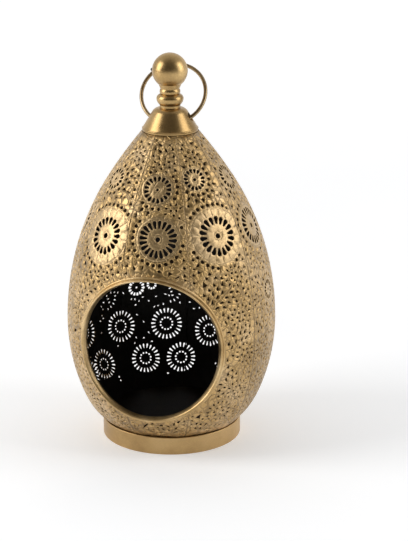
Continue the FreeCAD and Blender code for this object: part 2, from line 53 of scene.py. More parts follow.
BELLY_R, BELLY_Z = 110.0, 126.0
UPPER_ARC, LOWER_ARC, FOOT_ARC, CROWN_ARC = 285.0, 195.0, 80.0, 500.0
FOOT_ARC_TOP, CROWN_ARC_BOTTOM = 48.0, 283.0
SHELL_BOTTOM, SHELL_TOP = 16.5, 328.0
SHEET = 1.2                # thickness
PETALS = 9
PETAL_TURN = 4.0           # degrees that the petals stand beside the opening
HALF_PETAL = math.radians(180 / PETALS)
FLATTEN = 0.7              # how far a petal's middle lies inside the round egg
OPENING_Z, OPENING_R = 121.0, 75.0
OPENING_CUT = OPENING_R + 1.95
RIM_REACH = 81.5           # nothing is drawn nearer to the opening's middle

foot_sine = (FOOT_ARC_TOP - BELLY_Z) / LOWER_ARC
foot_cos = math.sqrt(1 - foot_sine ** 2)
FOOT_X = BELLY_R - LOWER_ARC + (LOWER_ARC - FOOT_ARC) * foot_cos
FOOT_Z = BELLY_Z + (LOWER_ARC - FOOT_ARC) * foot_sine
crown_sine = (CROWN_ARC_BOTTOM - BELLY_Z) / UPPER_ARC
crown_cos = math.sqrt(1 - crown_sine ** 2)
CROWN_X = BELLY_R - UPPER_ARC - (CROWN_ARC - UPPER_ARC) * crown_cos
CROWN_Z = BELLY_Z - (CROWN_ARC - UPPER_ARC) * crown_sine


def radius_at(z):
    """Outer radius of the egg at a height."""
    if z > CROWN_ARC_BOTTOM:
        return CROWN_X + math.sqrt(CROWN_ARC ** 2 - (z - CROWN_Z) ** 2)
    if z >= BELLY_Z:
        return BELLY_R - UPPER_ARC + math.sqrt(UPPER_ARC ** 2 - (z - BELLY_Z) ** 2)
    if z >= FOOT_ARC_TOP:
        return BELLY_R - LOWER_ARC + math.sqrt(LOWER_ARC ** 2 - (z - BELLY_Z) ** 2)
    return FOOT_X + math.sqrt(FOOT_ARC ** 2 - (z - FOOT_Z) ** 2)


TABLE_ROWS = 1247
Z_TABLE = np.linspace(SHELL_BOTTOM, SHELL_TOP, TABLE_ROWS)
R_TABLE = np.array([radius_at(z) for z in Z_TABLE])
S_TABLE = np.concatenate([[0], np.cumsum(np.hypot(np.diff(R_TABLE), np.diff(Z_TABLE)))])
SLOPE_TABLE = np.gradient(R_TABLE, Z_TABLE)
LENGTH = float(S_TABLE[-1])


def s_at(z):
    """Distance along the egg's side, from its lower edge, of a height."""
    return float(np.interp(z, Z_TABLE, S_TABLE))


def side(s):
    """Height, radius and slope of the egg at a distance along its side."""
    z = float(np.interp(s, S_TABLE, Z_TABLE))
    return z, float(np.interp(z, Z_TABLE, R_TABLE)), float(np.interp(z, Z_TABLE, SLOPE_TABLE))


def on_egg(azimuth, s, lift):
    """A point of the egg, in millimetres; azimuth in radians from -Y towards +X."""
    z, r, slope = side(s)
    grow = 1 / math.sqrt(1 + slope * slope)
    out = r + lift * grow
    return Vector((out * math.sin(azimuth), -out * math.cos(azimuth), z - lift * slope * grow))


COMPASS = Vector((0, -radius_at(OPENING_Z), OPENING_Z))


def opening_spot(turn, reach):
    """Azimuth and side distance of the point at a straight distance from the compass point."""
    low, high = 0.0, reach * 1.25
    for _ in range(40):
        step = (low + high) / 2
        z = OPENING_Z + step * math.cos(turn)
        r = radius_at(z)
        across = max(-0.9999, min(0.9999, step * math.sin(turn) / r))
        azimuth = math.asin(across)
        spot = Vector((r * across, -r * math.cos(azimuth), z))
        if (spot - COMPASS).length < reach:
            low = step
        else:
            high = step
    return azimuth, s_at(z)


# --- the pattern of one petal -------------------------------------------------------------------

SPREAD = 100.0             # domain units per radian across a petal
EDGE_GAP = 1.3             # least distances of a mark: from a seam,
OPENING_GAP = 0.8          # from the rim
MARK_GAP = 0.9             # and from another mark
MARK_SCALE = 0.86
MARK_WOBBLE = 0.34
MARK_LIP = 0.38            # how far the pressed lip reaches round a mark
SLOT_LIP = 0.4
EYE_LIP = 0.5
INNER_DOT_LIP = 0.35


class Sheet:
    """Holes, pits and engraved lines of one petal, as loops in the plane (azimuth, side distance)."""

    def __init__(self, place):
        self.middle = math.radians(PETAL_TURN + place * 360 / PETALS)
        self.random = random.Random(100 + place)
        self.holes = []
        self.pits = []
        self.lips = []
        self.grooves = []
        self.taken = []
        self.plain = []

    def flat(self, azimuth, s):
        """Domain point of a place on the egg."""
        turn = (azimuth - self.middle + math.pi) % (2 * math.pi) - math.pi
        return (turn * SPREAD, s)

    def spot(self, centre, across, along):
        """Domain point at a distance in millimetres from a centre (azimuth, s)."""
        s = min(max(centre[1] + along, -4.0), LENGTH + 4)
        return self.flat(centre[0] + across / max(side(s)[1], 20.0), s)

    def near_edge(self, azimuth, s, gap):
        x = self.flat(azimuth, s)[0] / SPREAD
        return (HALF_PETAL - abs(x)) * side(s)[1] < gap or s < 9 + gap or s > LENGTH - 3 - gap

    def in_opening(self, azimuth, s, gap):
        return (on_egg(azimuth, s, 0) - COMPASS).length < RIM_REACH + gap

    def hole(self, centre, loop, lip, through=True):
        """Cut or sink a loop given in millimetres round a centre, with a pressed lip around it."""
        (self.holes if through else self.pits).append([self.spot(centre, *point) for point in loop])
        middle = [sum(p[i] for p in loop) / len(loop) for i in (0, 1)]
        wide = []
        for p in loop:
            off = (p[0] - middle[0], p[1] - middle[1])
            size = math.hypot(*off) or 1
            wide.append((p[0] + off[0] / size * lip, p[1] + off[1] / size * lip))
        self.lips.append([self.spot(centre, *point) for point in wide])

    def dot(self, azimuth, s, kind, size, angle, through=False):
        """A small pit or hole, left out where it would meet another one or an edge."""
        r = side(s)[1]
        x = self.flat(azimuth, s)[0] / SPREAD * r
        reach = size * 1.4 if kind == "streak" else size
        if self.near_edge(azimuth, s, reach + EDGE_GAP) or self.in_opening(azimuth, s, reach + OPENING_GAP):
            return
        for px, ps, pr in self.plain:
            if math.hypot(x - px * r, s - ps) < pr + reach:
                return
        for px, ps, pr in self.taken:
            if math.hypot(x - px, s - ps) < pr + reach + MARK_GAP:
                return
        self.taken.append((x, s, reach))
        cos, sin = math.cos(angle), math.sin(angle)
        loop = []
        for px, py in DOT_SHAPES[kind]:
            wobble = MARK_SCALE * size * (1 + MARK_WOBBLE * (self.random.random() - 0.5))
            loop.append((wobble * (px * cos - py * sin), wobble * (px * sin + py * cos)))
        self.hole((azimuth, s), loop, MARK_LIP, through)

    def keep_plain(self, centre, radius):
        """Keep later marks out of a round field."""
        turn = self.flat(*centre)[0] / SPREAD
        self.plain.append((turn, centre[1], radius))

    def groove(self, centre, loop, closed=True):
        self.grooves.append(([self.spot(centre, *p) for p in loop], closed))


def ring_loop(radius, count):
    turns = [2 * math.pi * i / count for i in range(count)]
    return [(radius * math.sin(turn), radius * math.cos(turn)) for turn in turns]


DOT_SHAPES = {
    "triangle": ((0, 1.2), (-0.5, 0.35), (-0.95, -0.6), (-0.1, -0.85), (0.95, -0.65), (0.45, 0.3)),
    "leaf": ((0, 1.5), (-0.52, 0.5), (-0.5, -0.5), (0, -1.3), (0.5, -0.5), (0.52, 0.5)),
    "comma": ((0.35, 1.5), (-0.35, 0.75), (-0.8, -0.1), (-0.45, -0.95), (0.35, -0.95), (0.55, -0.2),
              (0.2, 0.5)),
    "round": tuple(ring_loop(0.9, 7)),
    "streak": ((0, 1.9), (-0.34, 0.8), (-0.38, -0.7), (0, -1.9), (0.3, -0.8), (0.4, 0.7)),
}


SLOT_FILL = 0.74           # how much of the ring the slots take up,
DOTTED_SLOT_FILL = 0.44    # and in a rosette with inner dots
SLOT_TAPER = 0.36          # a slot's inner width, as a share of its outer one


def wedge(inner, outer, count, fill, angle):
    """One slot of a rosette: narrow towards the eye and round at its outer end."""
    half = fill * outer * math.tan(math.pi / count)
    shoulder, cheek = (half * 0.92, outer - half * 0.8), (half * 0.55, outer - half * 0.12)
    loop = ((-half * SLOT_TAPER, inner), (-shoulder[0], shoulder[1]), (-cheek[0], cheek[1]), (0, outer),
            cheek, shoulder, (half * SLOT_TAPER, inner))
    cos, sin = math.cos(angle), math.sin(angle)
    return [(x * cos + y * sin, -x * sin + y * cos) for x, y in loop]


def rosette(sheet, azimuth_deg, z, inner, outer, slots, eye, plain, raised, dots, through):
    """A rosette with its plain field, pierced or only sunk; it may run over the petal's edge."""
    azimuth = math.radians(azimuth_deg)
    s = s_at(z)
    turn = abs(sheet.flat(azimuth, s)[0]) / SPREAD
    if turn * side(s)[1] > HALF_PETAL * side(s)[1] + outer + 2:
        return
    centre = (azimuth, s)
    sheet.keep_plain(centre, plain)
    shift = sheet.random.random()
    for i in range(slots):
        angle = 2 * math.pi * (i + shift) / slots
        wobble = 1 + 0.04 * (sheet.random.random() - 0.5)
        fill = DOTTED_SLOT_FILL if dots else SLOT_FILL
        loop = wedge(inner * wobble, outer * wobble, slots, fill, angle)
        middle = [sum(p[k] for p in loop) / len(loop) for k in (0, 1)]
        spot_azimuth = azimuth + middle[0] / side(s + middle[1])[1]
        if sheet.in_opening(spot_azimuth, s + middle[1], 2.0):
            continue
        sheet.hole(centre, loop, SLOT_LIP, through)
    if eye:
        sheet.hole(centre, ring_loop(eye, 10), EYE_LIP, through)
    if raised:
        sheet.groove(centre, ring_loop(raised, 24))
    for i in range(dots):
        angle = 2 * math.pi * (i + 0.5) / dots
        radius = inner * 0.54
        across, along = radius * math.sin(angle), radius * math.cos(angle)
        loop = [(across + x, along + y) for x, y in ring_loop(1.1, 6)]
        sheet.hole(centre, loop, INNER_DOT_LIP)
    sheet.groove(centre, ring_loop(plain - 1.2, 56))
    start, end = outer + 1.3, plain - 2.4
    if end - start > 1.2:
        for i in range(slots):
            angle = 2 * math.pi * (i + shift + 0.5) / slots
            line = [(radius * math.sin(angle), radius * math.cos(angle)) for radius in (start, end)]
            sheet.groove(centre, line, False)


def dots_on_circle(sheet, centre, radius, spacing, kind, size, start=0, end=360, through=False):
    """Dots round a centre, from one angle in degrees to another."""
    count = max(3, int(math.radians(end - start) * radius / spacing))
    for i in range(count):
        angle = math.radians(start + (end - start) * (i + 0.5) / count)
        s = centre[1] + radius * math.cos(angle)
        if not 4 < s < LENGTH - 4:
            continue
        azimuth = centre[0] + radius * math.sin(angle) / side(s)[1]
        sheet.dot(azimuth, s, kind, size, -angle, through)


def dots_on_path(sheet, path, spacing, kind, size, lean=0.0):
    """Dots at an even spacing along points (across the petal in mm, s), turned along the path."""
    carried = spacing / 2
    for (x0, s0), (x1, s1) in zip(path, path[1:]):
        length = math.hypot(x1 - x0, s1 - s0)
        angle = math.atan2(-(x1 - x0), s1 - s0)
        while carried < length:
            share = carried / length
            x, s = x0 + (x1 - x0) * share, s0 + (s1 - s0) * share
            if 3 < s < LENGTH - 3:
                sheet.dot(sheet.middle + x / side(s)[1], s, kind, size, angle + lean)
            carried += spacing
        carried -= length


def beside(path, offset):
    """A path moved sideways."""
    moved = []
    for i, (x, s) in enumerate(path):
        before, after = path[max(0, i - 1)], path[min(len(path) - 1, i + 1)]
        dx, ds = after[0] - before[0], after[1] - before[1]
        size = math.hypot(dx, ds) or 1
        moved.append((x + ds / size * offset, s - dx / size * offset))
    return moved


def half_width(s):
    """Half of a petal's width in millimetres."""
    return HALF_PETAL * side(s)[1]


VINE_ROWS = (
    # distance from the stem, spacing, kind, size, lean
    (3.8, 7.6, "leaf", 2.4, 0.5),
    (9.8, 7.2, "comma", 2.5, 0.9),
    (15.4, 7.6, "triangle", 2.2, 1.2),
)


def vine(sheet, z_low, z_high, waves, phase, reach, mirror):
    """A wavy engraved stem with leaves and commas on both sides."""
    s_low, s_high = s_at(z_low), s_at(z_high)
    steps = 60
    path = []
    for i in range(steps + 1):
        s = s_low + (s_high - s_low) * i / steps
        x = mirror * reach * half_width(s) * math.sin(2 * math.pi * waves * i / steps + phase)
        path.append((x, s))
    for offset, spacing, kind, size, lean in VINE_ROWS:
        dots_on_path(sheet, beside(path, offset), spacing, kind, size, -lean)
        dots_on_path(sheet, beside(path, -offset), spacing, kind, size, lean)
    engraved = [(x, s) for x, s in path[1:-1]]
    sheet.grooves.append(([sheet.flat(sheet.middle + x / side(s)[1], s) for x, s in engraved], False))


def edge_rows(sheet, z_low, z_high, inset, spacing, kind, size):
    """A row of dots along each side of the petal."""
    s_low, s_high = s_at(z_low), s_at(z_high)
    steps = 80
    for way in (-1, 1):
        path = []
        for i in range(steps + 1):
            s = s_low + (s_high - s_low) * i / steps
            path.append((way * (half_width(s) - inset), s))
        dots_on_path(sheet, path, spacing, kind, size, 0.0)


# Rosettes that repeat: slot start, slot end, slots, eye, plain field, raised ring, inner dots.
CROWN = (8.5, 14, 16, 1.7, 16.5, 3.0, 0)
SHOULDER = (11.5, 19.5, 20, 2.6, 23.5, 4.4, 0)
BELLY = (6.0, 10.5, 14, 1.4, 13.0, 0, 0)
INNER_RING = (12.5, 17.5, 23, 0, 20.5, 0, 12)
FOOT_RING = (11.5, 16.5, 22, 0, 19.0, 0, 11)
ROSETTES = (
    # azimuth and height, then the same
    (1.6, 281, 9, 14.5, 17, 1.6, 17.5, 3.2, 0),
    (37.9, 289, 7.3, 11.8, 15, 1.7, 14.0, 3.0, 0),
    (4.9, 236, 11, 19.5, 20, 2.6, 23.5, 4.4, 0),
    (46.1, 236, 12.4, 20.5, 18, 2.7, 30.0, 4.5, 0),
    (-34.4, 233, 12, 19.3, 18, 2.7, 30.0, 4.5, 0),
    (-133.9, 85.6, *INNER_RING),
    (-163.5, 83.5, *INNER_RING),
    (-148.2, 47.8, *FOOT_RING),
    (-173.2, 47.4, *FOOT_RING),
    (-114.2, 51.9, *FOOT_RING),
    (169.0, 78.3, *INNER_RING),
    (-145.7, 126.8, 6.0, 9.8, 14, 1.2, 12.0, 0, 0),
    (-155.0, 128.7, 3.2, 6.0, 10, 0, 8.0, 0, 0),
    (-50.0, 284, 7, 11.5, 14, 1.6, 13.6, 3.0, 0),
    (-84.0, 283, *CROWN),
    (84.0, 284, *CROWN),
    (124.0, 282, *CROWN),
    (164.0, 284, *CROWN),
    (-156.0, 283, *CROWN),
    (-116.0, 285, *CROWN),
    (-76.0, 236, *SHOULDER),
    (84.0, 235, *SHOULDER),
    (124.0, 236, *SHOULDER),
    (164.0, 234, *SHOULDER),
    (-156.0, 236, *SHOULDER),
    (-116.0, 235, *SHOULDER),
    (104.0, 49, *FOOT_RING),
    (124.0, 84, *INNER_RING),
    (146.0, 50, *FOOT_RING),
    (-76.0, 84, *INNER_RING),
    (-96.0, 50, *FOOT_RING),
    (-104.0, 92, *INNER_RING),
    (-52.0, 50, *FOOT_RING),
    (84.0, 168, 6.0, 10.5, 14, 1.4, 13.5, 0, 0),
    (124.0, 166, *BELLY),
    (164.0, 168, *BELLY),
    (-156.0, 170, *BELLY),
    (-116.0, 167, *BELLY),
    (-76.0, 168, *BELLY),
)


MEDALLIONS = (
    # turn from the petal's middle, height, radius
    (-8, 205, 8.5), (9, 200, 8.0), (0, 178, 11.5), (-11, 158, 8.5), (11, 152, 9.5), (-1, 136, 12.0),
    (12, 118, 8.0), (-12, 108, 9.0), (4, 98, 11.5), (-9, 78, 10.0), (11, 72, 9.5), (0, 54, 10.5),
    (-12, 45, 8.0), (12, 42, 8.0), (0, 262, 6.5), (-11, 260, 5.5), (11, 259, 6.0), (0, 307, 6.0),
)


def medallion(sheet, turn, z, radius):
    """A small round field with a cluster of pits, an engraved edge and a collar of pits."""
    centre = (sheet.middle + math.radians(turn), s_at(z))
    if sheet.near_edge(*centre, radius + 0.5) or sheet.in_opening(*centre, radius - 3):
        return
    here = sheet.flat(*centre)[0] / SPREAD
    scale = side(centre[1])[1]
    for other, s, reach in sheet.plain:
        if math.hypot((here - other) * scale, centre[1] - s) < reach + radius + 1:
            return
    dots_on_circle(sheet, centre, radius * 0.52, 5.0, "round", 1.7)
    sheet.keep_plain(centre, radius)
    if not sheet.in_opening(*centre, radius + 1):
        sheet.groove(centre, ring_loop(radius - 0.6, 36))
    dots_on_circle(sheet, centre, radius + 2.4, 5.4, "comma", 1.9)


BACK_ARCS = (
    # turn from the petal's middle, height, radius, kind of hole, start and end angle; pierced through
    (-9, 121, 13, "leaf", 180, 300),
    (-4, 140, 8, "leaf", 30, 300),
    (9, 136, 9, "comma", 150, 400),
    (2, 147, 17, "leaf", 110, 250),
    (12, 119, 6, "comma", 0, 300),
    (-13, 146, 7, "comma", 0, 360),
    (3, 34, 16, "round", 250, 330),
    (0, 112, 22, "comma", 250, 470),
    (-14, 112, 14, "leaf", 280, 440),
    (14, 110, 15, "leaf", 280, 440),
    (7, 128, 5, "comma", 0, 360),
    (-12, 130, 5.5, "leaf", 0, 360),
)


BACK_FACING = -0.3         # cosine to the camera's side, below which a petal is a back one
BACK_PIERCED_TOP = 150     # back rosettes above it are sunk, so no light shows through the front
BACK_SPECKS = 60
FIELD_TRIES = 1700         # random marks tried on a petal
FIELD_BOTTOM, FIELD_TOP = 22, 325
FIELD_KINDS = ("triangle", "leaf", "comma", "streak", "streak")
FIELD_SIZES = (1.5, 2.1, 2.8, 3.5)
CALM_PATCH = 0.42          # where the patches of few marks begin


def draw_pattern(sheet, place):
    """All marks of one petal: rosettes first, then arcs, medallions, rings, vines, rows and the field."""
    mirror = 1 if place % 2 else -1
    back = math.cos(sheet.middle - math.radians(VIEW_TURN)) < BACK_FACING
    own = []
    for row in ROSETTES:
        before = len(sheet.plain)
        rosette(sheet, *row, not back or row[1] < BACK_PIERCED_TOP)
        if len(sheet.plain) > before:
            own.append(row)
    if back:
        for turn, z, radius, kind, start, end in BACK_ARCS:
            centre = (sheet.middle + math.radians(turn), s_at(z))
            dots_on_circle(sheet, centre, radius, 4.4, kind, 1.45, start, end, True)
        for _ in range(BACK_SPECKS):
            s = sheet.random.uniform(s_at(62), s_at(145))
            turn = sheet.random.uniform(-0.95, 0.95) * HALF_PETAL
            sheet.dot(sheet.middle + turn, s, "comma", 1.3, 6.3 * sheet.random.random(), True)
    for turn, z, radius in MEDALLIONS:
        medallion(sheet, turn + sheet.random.uniform(-1.5, 1.5), z + sheet.random.uniform(-5, 5), radius)
    for row in own:
        azimuth_deg, z, plain = row[0], row[1], row[6]
        centre = (math.radians(azimuth_deg), s_at(z))
        dots_on_circle(sheet, centre, plain + 2.8, 6.2, "round", 2.5)
        dots_on_circle(sheet, centre, plain + 8.8, 7.8, "comma", 2.8)
    if not back:
        edge_rows(sheet, 26, 112, 4.0, 6.2, "triangle", 1.45)
        vine(sheet, 26, 118, 1.0, 1.1 + place, 0.5, -mirror)
        for z in (24, 30):
            s = s_at(z)
            end = half_width(s) - 4
            dots_on_path(sheet, [(-end, s), (end, s)], 5.6, "leaf", 1.3, math.pi / 2)
    edge_rows(sheet, 160, 318, 4.6, 7.8, "triangle", 2.1)
    vine(sheet, 118, 214, 1.5, 0.4 * place, 0.42, mirror)
    vine(sheet, 248, 322, 0.75, 0.3, 0.45, mirror)
    for _ in range(FIELD_TRIES):
        s = sheet.random.uniform(s_at(FIELD_BOTTOM), s_at(FIELD_TOP))
        x = sheet.random.uniform(-0.97, 0.97) * half_width(s)
        flow = 1.5 * math.sin(0.11 * x + 0.05 * s) + 1.2 * math.sin(0.07 * s - 0.13 * x + place)
        if math.sin(0.21 * x + 1.7 * place) * math.sin(0.17 * s + 0.9 * place) > CALM_PATCH:
            continue
        kind = sheet.random.choice(FIELD_KINDS)
        size = sheet.random.choice(FIELD_SIZES)
        sheet.dot(sheet.middle + x / side(s)[1], s, kind, size, flow + sheet.random.uniform(-0.5, 0.5))


# --- from pattern to mesh -----------------------------------------------------------------------

HOLE_DISH = 0.28           # how far a hole's edge is pressed in
PIT_DEPTH = 0.85
GROOVE_HALF = 0.45
GROOVE_DEPTH = 0.3
SEAM_DEPTH = 0.12
SEAM_WIDTH = 0.9
BORDER_STEPS, BORDER_ACROSS = 110, 14
OPENING_STEPS = 180
GRID_ROW, GRID_COLUMN = 3.5, 4.5
# Plain fields larger than this are painted paler, a painted highlight of the lamps on the flat discs, and
# their leaf relief is calmed.
ROSETTE_FIELD = 13.0       # plain fields up to this radius keep the sheet's colour
FIELD_FADE = 1.2


def petal_lift(x):
    """How far the sheet lies off the round egg: petals are flatter across than the egg."""
    share = x / SPREAD / HALF_PETAL
    return -FLATTEN * (1 - share * share)


def opening_loop():
    return [opening_spot(2 * math.pi * i / OPENING_STEPS, OPENING_CUT) for i in range(OPENING_STEPS)]


def widen(points, closed, offset):
    """A line moved sideways in the plane; closed lines stay closed."""
    moved = []
    count = len(points)
    for i, (x, s) in enumerate(points):
        before = points[i - 1] if closed or i else points[0]
        after = points[(i + 1) % count] if closed or i < count - 1 else points[-1]
        scale = side(min(max(s, 0), LENGTH))[1] / SPREAD
        dx, ds = (after[0] - before[0]) * scale, after[1] - before[1]
        size = math.hypot(dx, ds) or 1
        moved.append((x + ds / size * offset / scale, s - dx / size * offset))
    return moved


def field_share(sheet, vert):
    """1 inside a large rosette's plain field, 0 outside it; it places the painted highlight on the plain
    discs.
    """
    s = min(max(vert.y, 0), LENGTH)
    r = side(s)[1]
    for turn, centre_s, radius in sheet.plain:
        gap = radius - math.hypot((vert.x / SPREAD - turn) * r, vert.y - centre_s)
        if gap > 0 and radius > ROSETTE_FIELD:
            return min(1.0, gap / FIELD_FADE)
    return 0.0


def keep_metal(verts, tris, edge, low, high, loops):
    """The triangles inside the petal's border and outside every hole."""
    co = np.array([(v.x, v.y) for v in verts])
    index = np.array(tris)
    centre = co[index].mean(axis=1)
    keep = (np.abs(centre[:, 0]) < edge) & (centre[:, 1] > low) & (centre[:, 1] < high)
    for loop in loops:
        line = np.array(loop)
        least, most = line.min(axis=0), line.max(axis=0)
        near = np.nonzero(keep & (centre > least).all(axis=1) & (centre < most).all(axis=1))[0]
        if not len(near):
            continue
        x, y = centre[near, 0], centre[near, 1]
        inside = np.zeros(len(near), bool)
        for (x0, y0), (x1, y1) in zip(line, np.roll(line, -1, axis=0)):
            if y0 == y1:
                continue
            crosses = ((y0 > y) != (y1 > y)) & (x < (x1 - x0) * (y - y0) / (y1 - y0) + x0)
            inside ^= crosses
        keep[near[inside]] = False
    return [tuple(tri) for tri in index[keep].tolist()]


def build_petal(name, place, zone):
    """Triangulate the petal around its marks and give it thickness, lips, grooves and seams."""
    sheet = Sheet(place)
    draw_pattern(sheet, place)
    edge = HALF_PETAL * SPREAD
    points, edges = [], []
    height = {}

    def add_loop(loop, closed=True, lift=0.0):
        first = len(points)
        points.extend(loop)
        count = len(loop)
        for i in range(count):
            height[first + i] = lift
        last = count if closed else count - 1
        edges.extend((first + i, first + (i + 1) % count) for i in range(last))

    low, high = zone
    rise = [low + (high - low) * i / BORDER_STEPS for i in range(BORDER_STEPS + 1)]
    border = [(edge, s) for s in rise]
    border += [(edge - 2 * edge * i / BORDER_ACROSS, high) for i in range(1, BORDER_ACROSS)]
    border += [(-edge, s) for s in reversed(rise)]
    border += [(-edge + 2 * edge * i / BORDER_ACROSS, low) for i in range(1, BORDER_ACROSS)]
    add_loop(border)
    cuts = list(sheet.holes)
    if math.cos(sheet.middle) > 0:
        mouth = [sheet.flat(azimuth, s) for azimuth, s in opening_loop()]
        add_loop(mouth)
        cuts.append(mouth)
    hole_first = len(points)
    for loop in sheet.holes:
        add_loop(loop, lift=-HOLE_DISH)
    hole_last = len(points)
    for loop in sheet.pits:
        add_loop(loop, lift=-PIT_DEPTH)
    for loop in sheet.lips:
        add_loop(loop)
    for loop, closed in sheet.grooves:
        add_loop(loop, closed, -GROOVE_DEPTH)
        add_loop(widen(loop, closed, GROOVE_HALF), closed)
        add_loop(widen(loop, closed, -GROOVE_HALF), closed)
    s = low + GRID_ROW
    while s < high - 1:
        count = max(6, int(2 * half_width(s) / GRID_COLUMN))
        for i in range(1, count):
            points.append((edge * (2 * i / count - 1), s))
        inset = SEAM_WIDTH / side(s)[1] * SPREAD
        points.extend(((edge - inset, s), (inset - edge, s)))
        s += GRID_ROW
    flat = [Vector(p) for p in points]
    verts, _, tris, origin_verts, _, _ = delaunay_2d_cdt(flat, edges, [], 0, 1e-5)
    kept = keep_metal(verts, tris, edge, low, high, cuts)
    raised = set(keep_metal(verts, kept, edge, low, high, sheet.pits))
    # Per vertex: 1 on a through hole's edge, for a painted highlight; 0 on grooves and seams, for patina
    # and dark joints; 0.5 elsewhere.
    lifts, patina_highlight_mask = [], []
    for vert, sources in zip(verts, origin_verts):
        lift, groove_patina_hole_highlight = 0.0, 0.5
        for source in sources:
            if source in height and height[source] < lift:
                lift = height[source]
                if hole_first <= source < hole_last:
                    groove_patina_hole_highlight = 1.0
                else:
                    groove_patina_hole_highlight = 0.5 if lift == -PIT_DEPTH else 0.0
        if abs(abs(vert.x) - edge) < 1e-4:
            lift, groove_patina_hole_highlight = -SEAM_DEPTH, 0.0
        lifts.append(lift)
        patina_highlight_mask.append(groove_patina_hole_highlight)
    calm = [field_share(sheet, vert) for vert in verts]
    co, groove_patina_hole_highlight, plain = [], [], calm + calm
    for layer in (0, 1):
        for vert, lift, value in zip(verts, lifts, patina_highlight_mask):
            depth = petal_lift(vert.x) + (lift if layer == 0 else -SHEET)
            s = min(max(vert.y, 0), LENGTH)
            co.append(on_egg(sheet.middle + vert.x / SPREAD, s, depth) * MM)
            groove_patina_hole_highlight.append(value)
    count = len(verts)
    polygons = list(kept)
    polygons += [tuple(v + count for v in reversed(t)) for t in kept]
    outside = len(kept)
    seen = {}
    for t in kept:
        for a, b in zip(t, t[1:] + t[:1]):
            seen[(a, b)] = seen.get((a, b), 0) + 1
    walls = [(a, b) for a, b in seen if (b, a) not in seen]
    polygons += [(b, a, a + count, b + count) for a, b in walls]
    mesh = bpy.data.meshes.new(name)
    mesh.from_pydata(co, [], polygons)
    mesh.materials.append(GOLD_SHEET[place])
    mesh.materials.append(BLACK_SHEET)
    mesh.materials.append(CUT_EDGE)
    mesh.materials.append(PIT_PAINT)
    for i, polygon in enumerate(mesh.polygons):
        if i < outside:
            polygon.material_index = 0 if kept[i] in raised else 3
        else:
            polygon.material_index = 1 if i < 2 * outside else 2
        polygon.use_smooth = i < 2 * outside
    for label, values in (("groove_patina_hole_highlight", groove_patina_hole_highlight), ("plain", plain)):
        mesh.attributes.new(label, "FLOAT", "POINT").data.foreach_set("value", values)
    used = set(v for polygon in polygons for v in polygon)
    drop_loose(mesh, used)
    piece = bpy.data.objects.new(name, mesh)
    bpy.context.scene.collection.objects.link(piece)
    return piece


def drop_loose(mesh, used):
    """Delete the vertices that only holes used."""
    work = bmesh.new()
    work.from_mesh(mesh)
    work.verts.ensure_lookup_table()
    loose = [v for v in work.verts if v.index not in used]
    bmesh.ops.delete(work, geom=loose, context="VERTS")
    work.to_mesh(mesh)
    work.free()


# --- materials ----------------------------------------------------------------------------------

def new_material(name):
    material = bpy.data.materials.new(name)
    material.use_nodes = True
    tree = material.node_tree
    tree.nodes.clear()
    output = tree.nodes.new("ShaderNodeOutputMaterial")
    shader = tree.nodes.new("ShaderNodeBsdfPrincipled")
    tree.links.new(shader.outputs[0], output.inputs[0])
    coords = tree.nodes.new("ShaderNodeTexCoord")
    return material, tree, shader, coords.outputs["Object"]


def noise(tree, where, scale, detail=3.0, roughness=0.55, stretch=None):
    if stretch:
        mapping = tree.nodes.new("ShaderNodeMapping")
        mapping.inputs["Scale"].default_value = stretch
        tree.links.new(where, mapping.inputs[0])
        where = mapping.outputs[0]
    node = tree.nodes.new("ShaderNodeTexNoise")
    node.inputs["Scale"].default_value = scale
    node.inputs["Detail"].default_value = detail
    node.inputs["Roughness"].default_value = roughness
    tree.links.new(where, node.inputs["Vector"])
    return node.outputs["Fac"]


def ramp(tree, value, *stops):
    node = tree.nodes.new("ShaderNodeValToRGB")
    elements = node.color_ramp.elements
    while len(elements) < len(stops):
        elements.new(0.5)
    for element, (position, color) in zip(elements, stops):
        element.position = position
        element.color = (*color, 1)
    tree.links.new(value, node.inputs[0])
    return node.outputs[0]


def spread(tree, value, low, high, to_low, to_high):
    """A value carried from one range to another, and held at its ends."""
    node = tree.nodes.new("ShaderNodeMapRange")
    for index, number in enumerate((low, high, to_low, to_high)):
        node.inputs[index + 1].default_value = number
    tree.links.new(value, node.inputs[0])
    return node.outputs[0]


def blend(tree, kind, factor, a, b):
    """A mix of two colours; each input is a socket or a constant."""
    node = tree.nodes.new("ShaderNodeMix")
    node.data_type = "RGBA"
    node.blend_type = kind
    for socket, value in ((node.inputs["Factor"], factor), (node.inputs[6], a), (node.inputs[7], b)):
        if hasattr(value, "is_linked"):
            tree.links.new(value, socket)
        elif isinstance(value, tuple):
            socket.default_value = (*value, 1)
        else:
            socket.default_value = value
    return node.outputs[2]


def bump(tree, shader, layers):
    """Bump from layers of (height, strength, distance in metres)."""
    last = None
    for value, strength, distance in layers:
        node = tree.nodes.new("ShaderNodeBump")
        node.inputs["Strength"].default_value = strength
        node.inputs["Distance"].default_value = distance
        tree.links.new(value, node.inputs["Height"])
        if last:
            tree.links.new(last, node.inputs["Normal"])
        last = node.outputs[0]
    tree.links.new(last, shader.inputs["Normal"])


def attribute(tree, label):
    node = tree.nodes.new("ShaderNodeAttribute")
    node.attribute_name = label
    return node.outputs["Fac"]


def math_node(tree, operation, a, b):
    node = tree.nodes.new("ShaderNodeMath")
    node.operation = operation
    for socket, value in zip(node.inputs, (a, b)):
        if hasattr(value, "is_linked"):
            tree.links.new(value, socket)
        else:
            socket.default_value = value
    return node.outputs[0]


def bent(tree, where, scale, amount):
    """Coordinates pushed about by noise, so that cells and bands run in curves."""
    node = tree.nodes.new("ShaderNodeTexNoise")
    node.inputs["Scale"].default_value = scale
    node.inputs["Detail"].default_value = 1.5
    tree.links.new(where, node.inputs["Vector"])
    push = tree.nodes.new("ShaderNodeVectorMath")
    push.operation = "MULTIPLY_ADD"
    push.inputs[1].default_value = (amount, amount, amount)
    tree.links.new(node.outputs["Color"], push.inputs[0])
    tree.links.new(where, push.inputs[2])
    return push.outputs[0]


